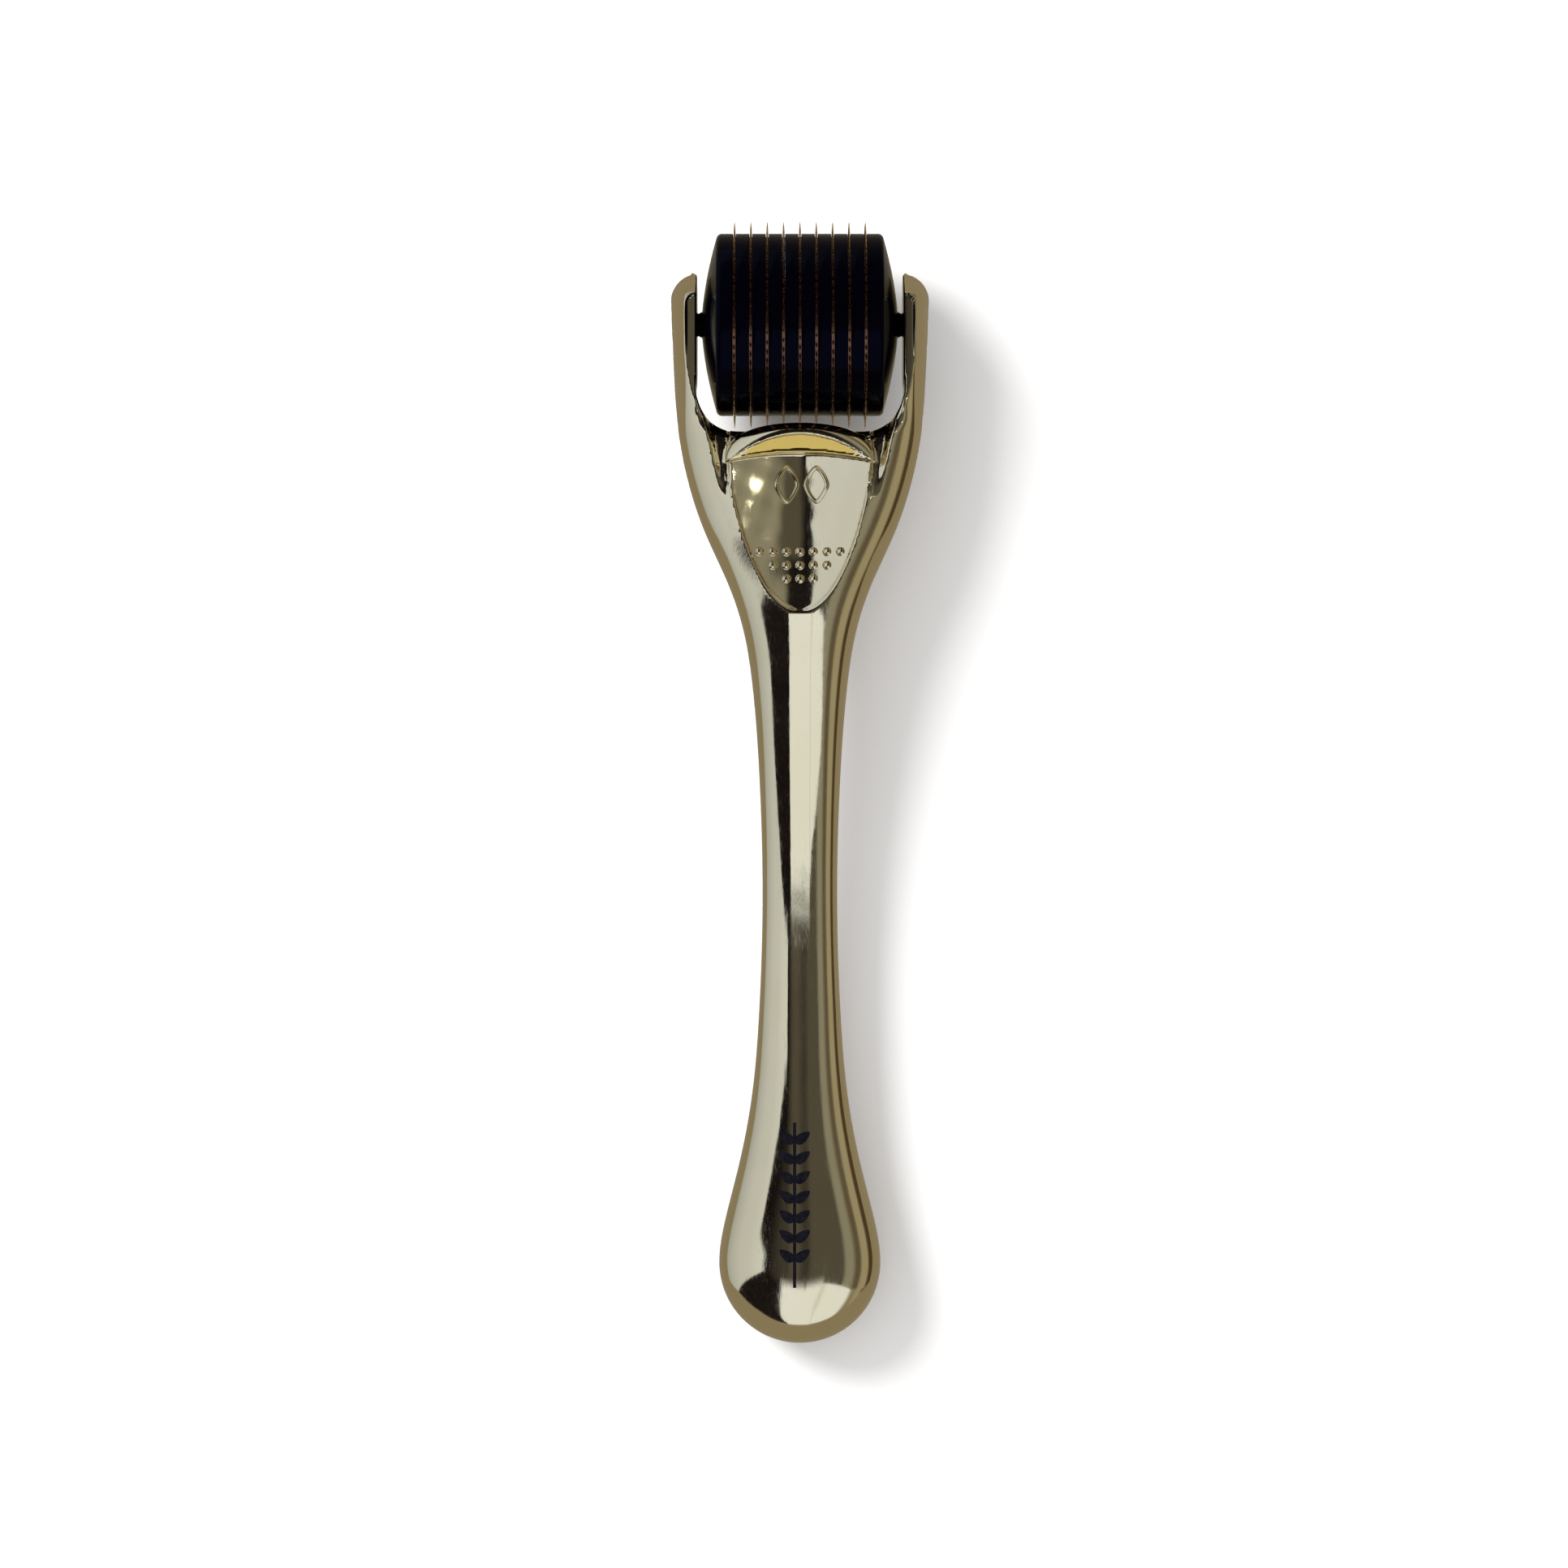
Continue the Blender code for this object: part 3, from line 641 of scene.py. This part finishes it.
def ink_material():
    """Dark pad-printed ink with an uneven film."""
    material, tree, shader = new_material("printed_ink")
    tone = ramp(
        tree, noise(tree, 0.5, 4), (0.3, (0.003, 0.003, 0.006)), (0.8, (0.009, 0.008, 0.012))
    )
    haze = spread(tree, noise(tree, 0.4, 4), 0.3, 0.8, 0.3, 0.5)
    tree.links.new(tone, shader.inputs["Base Color"])
    tree.links.new(haze, shader.inputs["Roughness"])
    shader.inputs["Specular IOR Level"].default_value = 0.06
    return material


# ---------------------------------------------------------------- pieces

HANDLE_CELL = 0.33


def make_handle(plating):
    fine = HANDLE_CELL
    xs = np.concatenate([
        np.arange(-ARM_OUTER - 1, -12, fine / 2),
        np.arange(-12, 12, fine),
        np.arange(12, ARM_OUTER + 1, fine / 2),
    ])
    ys = np.concatenate([
        np.arange(END_REACH - 1, -37, 2 * fine),
        np.arange(-37, -21.5, fine),
        np.arange(-21.5, -11.5, fine / 2),
        np.arange(-11.5, TIP_REACH + 1, fine),
    ])
    zs = np.concatenate([np.arange(-0.8, 15, fine), np.arange(15, LIP_CREST + 1, fine / 2)])
    points, faces = surface_net(handle_distance, xs, ys, zs)
    points = settle(handle_distance, points)
    normals = field_slope(handle_distance, points)
    normals /= np.linalg.norm(normals, axis=1, keepdims=True)
    mesh = bpy.data.meshes.new("handle_body")
    mesh.from_pydata(place_points(points).tolist(), [], faces.tolist())
    mesh.validate()
    mesh.shade_smooth()
    if len(mesh.vertices) == len(normals):
        mesh.normals_split_custom_set_from_vertices(normals.tolist())
    handle = add_object("handle_body", mesh, plating, GRIP)
    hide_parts("handle")


DOT_RADIUS = 0.5
DOT_HEIGHT = 0.36
DOT_PITCH = 1.63
DOT_ROWS = ((-27.9, 7), (-29.55, 5), (-31.2, 3))
DOT_SEGMENTS = 28
DOT_PROFILE = (
    (0.0, 1.0), (0.25, 0.965), (0.5, 0.84), (0.7, 0.66), (0.86, 0.42), (0.96, 0.2), (1.04, 0.05),
    (1.14, 0.0), (1.15, -0.5),
)


def make_dots(plating):
    """Raised grip dots on the thumb panel: domes with a small flare where they meet it."""
    bm = bmesh.new()
    segments = DOT_SEGMENTS
    for place, count in DOT_ROWS:
        for i in range(count):
            across = (i - (count - 1) / 2) * DOT_PITCH
            rings = []
            for out, up in DOT_PROFILE:
                angles = np.arange(segments) * 2 * math.pi / segments
                x = across + DOT_RADIUS * out * np.cos(angles)
                y = place + DOT_RADIUS * out * np.sin(angles)
                z = front_height(x, y) + DOT_HEIGHT * up
                spots = place_points(np.stack([x, y, z], 1))
                if out == 0:
                    rings.append([bm.verts.new(spots[0])])
                else:
                    rings.append([bm.verts.new(spot) for spot in spots])
            for first, second in zip(rings, rings[1:]):
                for k in range(segments):
                    n = (k + 1) % segments
                    corners = [first[k % len(first)], first[n % len(first)]]
                    corners += [second[n % len(second)], second[k % len(second)]]
                    bm.faces.new(dict.fromkeys(corners))
            bm.faces.new(rings[-1])
    dots = add_object("grip_dots", mesh_from(bm, "grip_dots", 50), plating, GRIP)


MARK_HALF_WIDTH = 1.3
MARK_HALF_HEIGHT = 2.1
MARK_WIRE = 0.27
MARK_Y = -19.7


def make_panel_marks(plating):
    """Two plain raised lozenge outlines at the top of the thumb panel."""
    for label, centre_x in (("left", -1.6), ("right", 2.0)):
        count = 48
        curve = bpy.data.curves.new("panel_mark_" + label, "CURVE")
        curve.dimensions = "3D"
        curve.bevel_depth = MARK_WIRE * MM
        curve.bevel_resolution = 5
        spline = curve.splines.new("POLY")
        spline.points.add(count - 1)
        spline.use_cyclic_u = True
        angles = np.arange(count) * 2 * math.pi / count
        power = 2 / 1.35
        x = centre_x + MARK_HALF_WIDTH * np.sign(np.cos(angles)) * np.abs(np.cos(angles)) ** power
        y = MARK_Y + MARK_HALF_HEIGHT * np.sign(np.sin(angles)) * np.abs(np.sin(angles)) ** power
        spots = place_points(np.stack([x, y, front_height(x, y) + 0.05], 1))
        for point, spot in zip(spline.points, spots):
            point.co = (*spot, 1)
        mark = add_object("panel_mark_" + label, curve, plating, GRIP)


INK_LIFT = 0.012
STEM_X = -0.65
STEM_TOP = -97.8
STEM_BOTTOM = -118.0
STEM_HALF = 0.2
STEM_PARTS = 24
SPRIG_PAIRS = 7
SPRIG_START = 2.6
SPRIG_PITCH = 2.4
SPRIG_LEAN = math.radians(38)


def make_print(ink):
    """A plain sprig printed in ink on the bulb: a thin stem with pairs of small leaves."""
    bm = bmesh.new()

    def add_patch(outline):
        x, y = np.array(outline).T
        middle_x, middle_y = x.mean(), y.mean()
        rings = []
        for share in (1.0, 0.66, 0.33):
            ring_x = middle_x + (x - middle_x) * share
            ring_y = middle_y + (y - middle_y) * share
            z = front_height(ring_x, ring_y) + INK_LIFT
            spots = place_points(np.stack([ring_x, ring_y, z], 1))
            rings.append([bm.verts.new(spot) for spot in spots])
        centre = np.array([[middle_x, middle_y, 0.0]])
        centre[0, 2] = front_height(centre[:, 0], centre[:, 1])[0] + INK_LIFT
        pole = bm.verts.new(place_points(centre)[0])
        for first, second in zip(rings, rings[1:]):
            for i in range(len(first)):
                bm.faces.new((first[i - 1], first[i], second[i], second[i - 1]))
        for i in range(len(rings[-1])):
            bm.faces.new((rings[-1][i - 1], rings[-1][i], pole))

    left, right = STEM_X - STEM_HALF, STEM_X + STEM_HALF
    for i in range(STEM_PARTS):
        start = STEM_TOP + (STEM_BOTTOM - STEM_TOP) * i / STEM_PARTS
        end = STEM_TOP + (STEM_BOTTOM - STEM_TOP) * (i + 1) / STEM_PARTS
        levels = (start, (start + end) / 2, end)
        add_patch([(left, y) for y in levels] + [(right, y) for y in levels[::-1]])
    for i in range(SPRIG_PAIRS):
        foot = STEM_TOP - SPRIG_START - SPRIG_PITCH * i
        for side in (-1, 1):
            outline = []
            for k in range(20):
                turn = 2 * math.pi * k / 20
                along = 1.25 + 1.1 * math.cos(turn)
                across = 0.6 * math.sin(turn) * (1 - 0.35 * math.cos(turn))
                reach = along * math.cos(SPRIG_LEAN) - across * math.sin(SPRIG_LEAN)
                x = STEM_X + side * reach
                y = foot + along * math.sin(SPRIG_LEAN) + across * math.cos(SPRIG_LEAN)
                outline.append((x, y))
            add_patch(outline)
    mesh = mesh_from(bm, "bulb_print")
    if sum(face.normal.z for face in mesh.polygons) < 0:
        mesh.flip_normals()
    printed = add_object("bulb_print", mesh, ink, GRIP)


NEEDLE_SIDES = 8
NEEDLE_TAPER = ((0.0, 1.0), (0.35, 0.92), (0.62, 0.74), (0.82, 0.45), (0.94, 0.2))
PLATE_DEPTH = 1.2
PLATE_SPREAD = 0.045
HUB_SIDES = 16


def make_needle_discs(metal):
    """Each disc: a thin plate just under the drum's surface, with round tapered needles."""
    sides = NEEDLE_SIDES
    foot = DRUM_RADIUS - DISC_RIM_DEPTH
    length = TIP_RADIUS - foot
    for number in range(1, DISC_COUNT + 1):
        low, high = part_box(f"needle_disc_{number}")
        centre = (low.x + high.x) / 2 / MM
        half = (high.x - low.x) / 2 / MM + PLATE_SPREAD
        bm = bmesh.new()
        left, right = centre - half, centre + half
        rim = [(left, foot - PLATE_DEPTH), (left, foot), (right, foot), (right, foot - PLATE_DEPTH)]
        add_turned(bm, rim + rim[:1], 120)
        turn = 2 * math.pi * (number - 1) / HUB_SIDES
        for i in range(NEEDLES_PER_DISC):
            angle = turn + 2 * math.pi * i / NEEDLES_PER_DISC
            out = Vector((0, math.cos(angle), math.sin(angle)))
            along = Vector((0, -math.sin(angle), math.cos(angle)))
            base = AXLE + Vector((centre * MM, 0, 0))
            rings = []
            for share, thick in NEEDLE_TAPER:
                middle = base + out * (foot - 0.1 + (length + 0.1) * share) * MM
                ring = []
                for k in range(sides):
                    round_turn = 2 * math.pi * k / sides
                    side = Vector((1, 0, 0)) * math.cos(round_turn) + along * math.sin(round_turn)
                    ring.append(bm.verts.new(middle + side * NEEDLE_RADIUS * thick * MM))
                rings.append(ring)
            tip = bm.verts.new(base + out * TIP_RADIUS * MM)
            for first, second in zip(rings, rings[1:]):
                for k in range(sides):
                    bm.faces.new((first[k - 1], first[k], second[k], second[k - 1]))
            for k in range(sides):
                bm.faces.new((rings[-1][k - 1], rings[-1][k], tip))
            bm.faces.new(rings[0])
        name = f"needle_row_{number}"
        disc = add_object(name, mesh_from(bm, name, 60), metal, ROLLER)
        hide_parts(f"needle_disc_{number}")


RING_CORNER = 0.09
HIDDEN_DEPTH = 3
DRUM_SEGMENTS = 144


def make_rings(black):
    """Spacer rings with rounded edges, so that a fine seam shows at each disc."""
    for number in range(1, DISC_COUNT):
        low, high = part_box(f"spacer_ring_{number}")
        left, right = low.x / MM, high.x / MM
        corner = RING_CORNER
        inner = DRUM_RADIUS - HIDDEN_DEPTH
        profile = [(left, inner), (left, DRUM_RADIUS - corner)]
        for step in (1, 2, 3):
            angle = math.radians(90 * step / 3)
            x = left + corner * (1 - math.cos(angle))
            profile.append((x, DRUM_RADIUS - corner * (1 - math.sin(angle))))
        for step in (0, 1, 2, 3):
            angle = math.radians(90 * step / 3)
            x = right - corner * (1 - math.sin(angle))
            profile.append((x, DRUM_RADIUS - corner * (1 - math.cos(angle))))
        profile += [(right, inner), (left, inner)]
        bm = bmesh.new()
        add_turned(bm, profile, DRUM_SEGMENTS)
        name = f"drum_ring_{number}"
        ring = add_object(name, mesh_from(bm, name, 40), black, ROLLER)
        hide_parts(f"spacer_ring_{number}")


CAP_RIM = 10.25
CAP_APEX = 12.05
CAP_POWER = 1.65
STUB_FILLET = 0.25
STUB_CHAMFER = 0.2


def make_caps(black):
    """Domed end caps with a rounded rim, a fillet at the stub and a small chamfer at its end."""
    for side, label in ((-1, "left"), (1, "right")):
        low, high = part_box("end_cap_" + label)
        reach = max(abs(low.x), abs(high.x)) / MM
        inner = min(abs(low.x), abs(high.x)) / MM
        profile = [(inner, DRUM_RADIUS - HIDDEN_DEPTH), (inner, DRUM_RADIUS - RING_CORNER)]
        profile.append((inner + RING_CORNER, DRUM_RADIUS))
        for step in range(9):
            angle = math.radians(80 * step / 8)
            x = CAP_RIM - CAP_CORNER + CAP_CORNER * math.sin(angle)
            profile.append((x, DRUM_RADIUS - CAP_CORNER * (1 - math.cos(angle))))
        last_x, last_radius = profile[-1]
        for step in range(1, 25):
            radius = last_radius + (STUB_RADIUS + STUB_FILLET - last_radius) * step / 24
            x = CAP_APEX - (CAP_APEX - last_x) * (radius / last_radius) ** CAP_POWER
            profile.append((x, radius))
        base_x = profile[-1][0]
        for step in (1, 2, 3):
            angle = math.radians(90 * step / 3)
            x = base_x + STUB_FILLET * (1 - math.cos(angle))
            profile.append((x, STUB_RADIUS + STUB_FILLET * (1 - math.sin(angle))))
        ridge = base_x + STUB_FILLET
        while ridge + STUB_RIDGE < reach - STUB_CHAMFER:
            for share, cut in STUB_RIDGE_SHAPE:
                profile.append((ridge + STUB_RIDGE * share, STUB_RADIUS - cut))
            ridge += STUB_RIDGE
        profile += [(reach - STUB_CHAMFER, STUB_RADIUS), (reach, STUB_RADIUS - STUB_CHAMFER)]
        profile.append((reach, 0))
        bm = bmesh.new()
        add_turned(bm, [(side * x, radius) for x, radius in profile], DRUM_SEGMENTS)
        name = "drum_cap_" + label
        cap = add_object(name, mesh_from(bm, name, 40), black, ROLLER)
        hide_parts("end_cap_" + label)


# ---------------------------------------------------------------- studio and camera

FLOOR_TONE = (0.285, 0.245, 0.185)
CARD = (0.87, 0.94, 1.16)
SEAM = (0.66, 0.68, 0.72)
GREY = (0.088, 0.081, 0.075)
STRIP = (0.275, 0.27, 0.25)
BRONZE = (0.12, 0.10, 0.078)
WARM = (0.36, 0.325, 0.25)
LINE = (0.075, 0.052, 0.030)
DARK = (0.042, 0.038, 0.036)
BLACK = (0.008, 0.006, 0.008)


def shade(colour, amount):
    return tuple(c * amount for c in colour)


def sky_ramp(tree, round_sky, *stops):
    """A colour ramp round the sky, by degrees off straight up towards +X."""
    return ramp(tree, round_sky, *[((degrees + 180) / 360, colour) for degrees, colour in stops])


def fade(tree, value, low, high):
    """From 0 to 1 as value goes from low to high, which may be sockets."""
    made = node(tree, "ShaderNodeMapRange", Value=value)
    made.interpolation_type = "SMOOTHSTEP"
    for name, edge in (("From Min", low), ("From Max", high)):
        if isinstance(edge, bpy.types.NodeSocket):
            tree.links.new(edge, made.inputs[name])
        else:
            made.inputs[name].default_value = edge
    return made.outputs["Result"]


def mix(tree, share, first, second):
    made = tree.nodes.new("ShaderNodeMix")
    made.data_type = "RGBA"
    tree.links.new(share, made.inputs["Factor"])
    for name, colour in (("A", first), ("B", second)):
        if isinstance(colour, bpy.types.NodeSocket):
            tree.links.new(colour, made.inputs[name])
        else:
            made.inputs[name].default_value = (*colour, 1)
    return made.outputs["Result"]


def reflected_sky(tree):
    """What the plating mirrors: soft boxes, dark gaps between them and the table below."""
    place = tree.nodes.new("ShaderNodeTexCoord").outputs["Generated"]
    parts = node(tree, "ShaderNodeSeparateXYZ", Vector=place).outputs
    lean = parts["Y"]
    turn = maths(tree, "ARCTAN2", parts["X"], parts["Z"])
    round_sky = spread(tree, turn, -math.pi, math.pi, 0.0, 1.0)
    degrees = maths(tree, "MULTIPLY", turn, 180 / math.pi)

    def moving(value, *stops):
        """An edge that moves as value passes each stop."""
        total = None
        for (start, first), (end, second) in zip(stops, stops[1:]):
            if total is None:
                total = spread(tree, value, start, end, first, second)
            else:
                rise = spread(tree, value, start, end, 0.0, second - first)
                total = maths(tree, "ADD", total, rise)
        return total

    def offset(edge, amount):
        return maths(tree, "ADD", edge, amount)

    drum_side = sky_ramp(
        tree, round_sky,
        (-98, BLACK), (-15, BLACK), (-7, DARK), (4, GREY), (28, GREY), (33, STRIP), (43, STRIP),
        (51, BRONZE), (59, BRONZE), (66, WARM), (83, WARM), (90, LINE), (104, LINE),
        (108, FLOOR_TONE),
    )
    dimmed = mix(tree, fade(tree, lean, 0.16, 0.34), drum_side, BLACK)
    open_sky = maths(tree, "MULTIPLY", fade(tree, degrees, -60, -45), fade(tree, degrees, 36, 24))
    drum_side = mix(tree, open_sky, drum_side, dimmed)
    bulb_side = sky_ramp(
        tree, round_sky,
        (-98, BLACK), (-40, BLACK), (-39, CARD), (9, CARD), (11, SEAM), (13, CARD), (44, CARD),
        (52, shade(WARM, 0.75)), (58, shade(WARM, 0.8)), (64, WARM), (74, WARM), (84, LINE),
        (96, LINE), (102, FLOOR_TONE),
    )
    card_edge = moving(lean, (-0.2, -6.0), (-0.75, -20.0))
    bulb_side = mix(tree, fade(tree, degrees, card_edge, offset(card_edge, -1.5)), bulb_side, BLACK)
    soft_end = fade(tree, lean, -0.13, -0.24)
    end_lean = moving(degrees, (8, -0.18), (50, -0.40))
    hard_end = fade(tree, lean, end_lean, offset(end_lean, -0.02))
    end = node(tree, "ShaderNodeMix", Factor=fade(tree, degrees, 9, 11))
    tree.links.new(soft_end, end.inputs["A"])
    tree.links.new(hard_end, end.inputs["B"])
    sky = mix(tree, end.outputs["Result"], drum_side, bulb_side)
    left_box = sky_ramp(
        tree, round_sky,
        (-110, shade(CARD, 0.45)), (-90, shade(CARD, 0.58)), (-60, shade(CARD, 0.70)),
        (-40, shade(CARD, 0.72)), (-18, shade(CARD, 0.85)),
    )
    inner_edge = moving(
        lean, (0.12, -26.0), (0.0, -17.0), (-0.12, -18.0), (-0.45, -76.0), (-0.52, -130.0)
    )
    sky = mix(tree, fade(tree, degrees, inner_edge, offset(inner_edge, -2.0)), sky, left_box)
    horizon = moving(lean, (0.0, -0.28), (-0.3, -0.2), (-0.5, 0.2), (-0.72, 0.43), (-0.9, 0.46))
    below = fade(tree, parts["Z"], offset(horizon, 0.03), offset(horizon, -0.03))
    return mix(tree, below, sky, FLOOR_TONE)


def make_world():
    """Reflections see the studio; everything else gets plain even light, and the camera white."""
    world = bpy.data.worlds.new("studio")
    bpy.context.scene.world = world
    world.use_nodes = True
    tree = world.node_tree
    tree.nodes.clear()
    sky = reflected_sky(tree)
    paths = tree.nodes.new("ShaderNodeLightPath").outputs
    seen = node(tree, "ShaderNodeBackground", Color=(1, 1, 1, 1), Strength=1.0)
    even = node(tree, "ShaderNodeBackground", Color=(1.0, 0.99, 0.985, 1), Strength=0.86)
    mirrored = node(tree, "ShaderNodeBackground", Color=sky, Strength=1.0)
    lit = node(
        tree, "ShaderNodeMixShader",
        Fac=paths["Is Glossy Ray"], i1=even.outputs[0], i2=mirrored.outputs[0],
    )
    shown = node(
        tree, "ShaderNodeMixShader",
        Fac=paths["Is Camera Ray"], i1=lit.outputs[0], i2=seen.outputs[0],
    )
    node(tree, "ShaderNodeOutputWorld", Surface=shown.outputs[0])


FLOOR_DROP = 0.00006


def make_floor():
    bm = bmesh.new()
    bmesh.ops.create_grid(bm, x_segments=8, y_segments=8, size=3.0)
    mesh = bpy.data.meshes.new("floor")
    bm.to_mesh(mesh)
    bm.free()
    floor = bpy.data.objects.new("floor", mesh)
    bpy.context.scene.collection.objects.link(floor)
    floor.location.z = -FLOOR_DROP
    floor.visible_glossy = False
    material, tree, shader = new_material("pale_floor")
    tone = ramp(tree, noise(tree, 40, 2), (0.3, (0.90, 0.895, 0.893)), (0.7, (0.92, 0.917, 0.915)))
    tree.links.new(tone, shader.inputs["Base Color"])
    shader.inputs["Roughness"].default_value = 0.9
    shader.inputs["Specular IOR Level"].default_value = 0.1
    mesh.materials.append(material)


def add_light(name, location, size, power, glossy):
    light = bpy.data.lights.new(name, "AREA")
    light.shape = "DISK"
    light.size = size
    light.energy = power
    obj = bpy.data.objects.new(name, light)
    bpy.context.scene.collection.objects.link(obj)
    obj.location = location
    aim = Vector((0, 0, 0)) - Vector(location)
    obj.rotation_euler = aim.to_track_quat("-Z", "Y").to_euler()
    obj.visible_glossy = glossy


LAMP_PLACE = (0.121, -0.008, 0.190)
LAMP_RADIUS = 0.0012
LAMP_POWER = 0.0035


def add_lamp():
    """A small bare lamp low on the right, which only shows as sparks in the gloss."""
    light = bpy.data.lights.new("spark_lamp", "POINT")
    light.shadow_soft_size = LAMP_RADIUS
    light.energy = LAMP_POWER
    obj = bpy.data.objects.new("spark_lamp", light)
    bpy.context.scene.collection.objects.link(obj)
    obj.location = Vector(LAMP_PLACE) + Vector((0, AXLE.y, 0))


CAMERA_LENS = 150
SENSOR = 36
FRAME_WIDTH = 192.8
SHARP_HEIGHT = 10.0
CENTRE_X = -1.95
CENTRE_Y = -56.25


def make_camera():
    """Straight above the front of the roller, with a long lens."""
    data = bpy.data.cameras.new("camera")
    data.lens = CAMERA_LENS
    data.sensor_width = SENSOR
    data.clip_start = 0.01
    data.clip_end = 20
    camera = bpy.data.objects.new("camera", data)
    bpy.context.scene.collection.objects.link(camera)
    distance = FRAME_WIDTH * CAMERA_LENS / SENSOR
    camera.location = (CENTRE_X * MM, AXLE.y + CENTRE_Y * MM, (distance + SHARP_HEIGHT) * MM)
    bpy.context.scene.camera = camera


def main():
    bpy.context.scene.view_settings.view_transform = "Standard"
    make_camera()
    make_world()
    make_floor()
    add_light("key", (-0.55, 0.42, 0.62), 0.45, 9.5, False)
    add_lamp()
    plating = plating_material()
    black = black_material("black_plastic", (0.0003, 0.0003, 0.0012), 0.10)
    hub = black_material("hub_plastic", (0.006, 0.006, 0.010), 0.35)
    metal = needle_material()
    make_handle(plating)
    make_dots(plating)
    make_panel_marks(plating)
    make_print(ink_material())
    make_needle_discs(metal)
    make_rings(black)
    make_caps(black)
    core = frame["nodes"]["hub_core"]
    core.data.materials.clear()
    core.data.materials.append(hub)


main()
